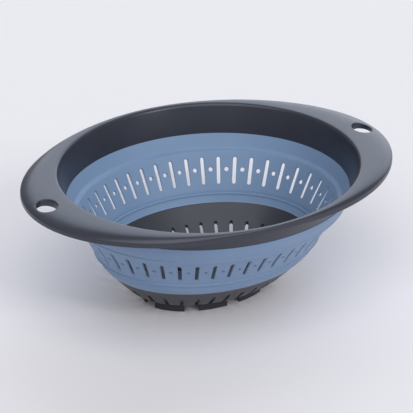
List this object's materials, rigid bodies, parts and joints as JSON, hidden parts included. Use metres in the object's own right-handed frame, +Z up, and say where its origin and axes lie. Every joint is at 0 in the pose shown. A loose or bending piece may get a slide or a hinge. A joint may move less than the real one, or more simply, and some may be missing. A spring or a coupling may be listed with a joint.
{
  "type": "collapsible colander",
  "caption": "Oval folding colander: stiff rim with two handles and hanging holes, soft slotted wall that folds flat, stiff slotted base on short feet.",
  "frame": {"origin": "on the floor under the middle of the bowl", "axes": "+X along the two handles, +Y across the bowl, +Z up; the rest pose is the open bowl standing on its feet"},
  "size_m": [0.3485, 0.2488, 0.123],
  "materials": {
    "rim": "satin",
    "wall": "matt",
    "base": "satin"
  },
  "bodies": {
    "base": {"base_dish": "base", "lower_cuff": "wall"},
    "band": {"slotted_band": "wall", "lower_fold": "wall", "upper_fold": "wall"},
    "rim": {"rim_frame": "rim", "upper_cuff": "wall"}
  },
  "joints": [
    {"name": "collapse", "type": "slide", "parent": "base", "child": "rim", "axis": [0, 0, -1], "range_m": [0, 0.062], "deforming": ["upper_fold"]},
    {"name": "band_slide", "type": "slide", "parent": "base", "child": "band", "axis": [0, 0, -1], "range_m": [0, 0.031], "deforming": ["lower_fold"]}
  ],
  "couplings": [
    {"joint": "band_slide", "follows": "collapse", "ratio": 0.5}
  ]
}
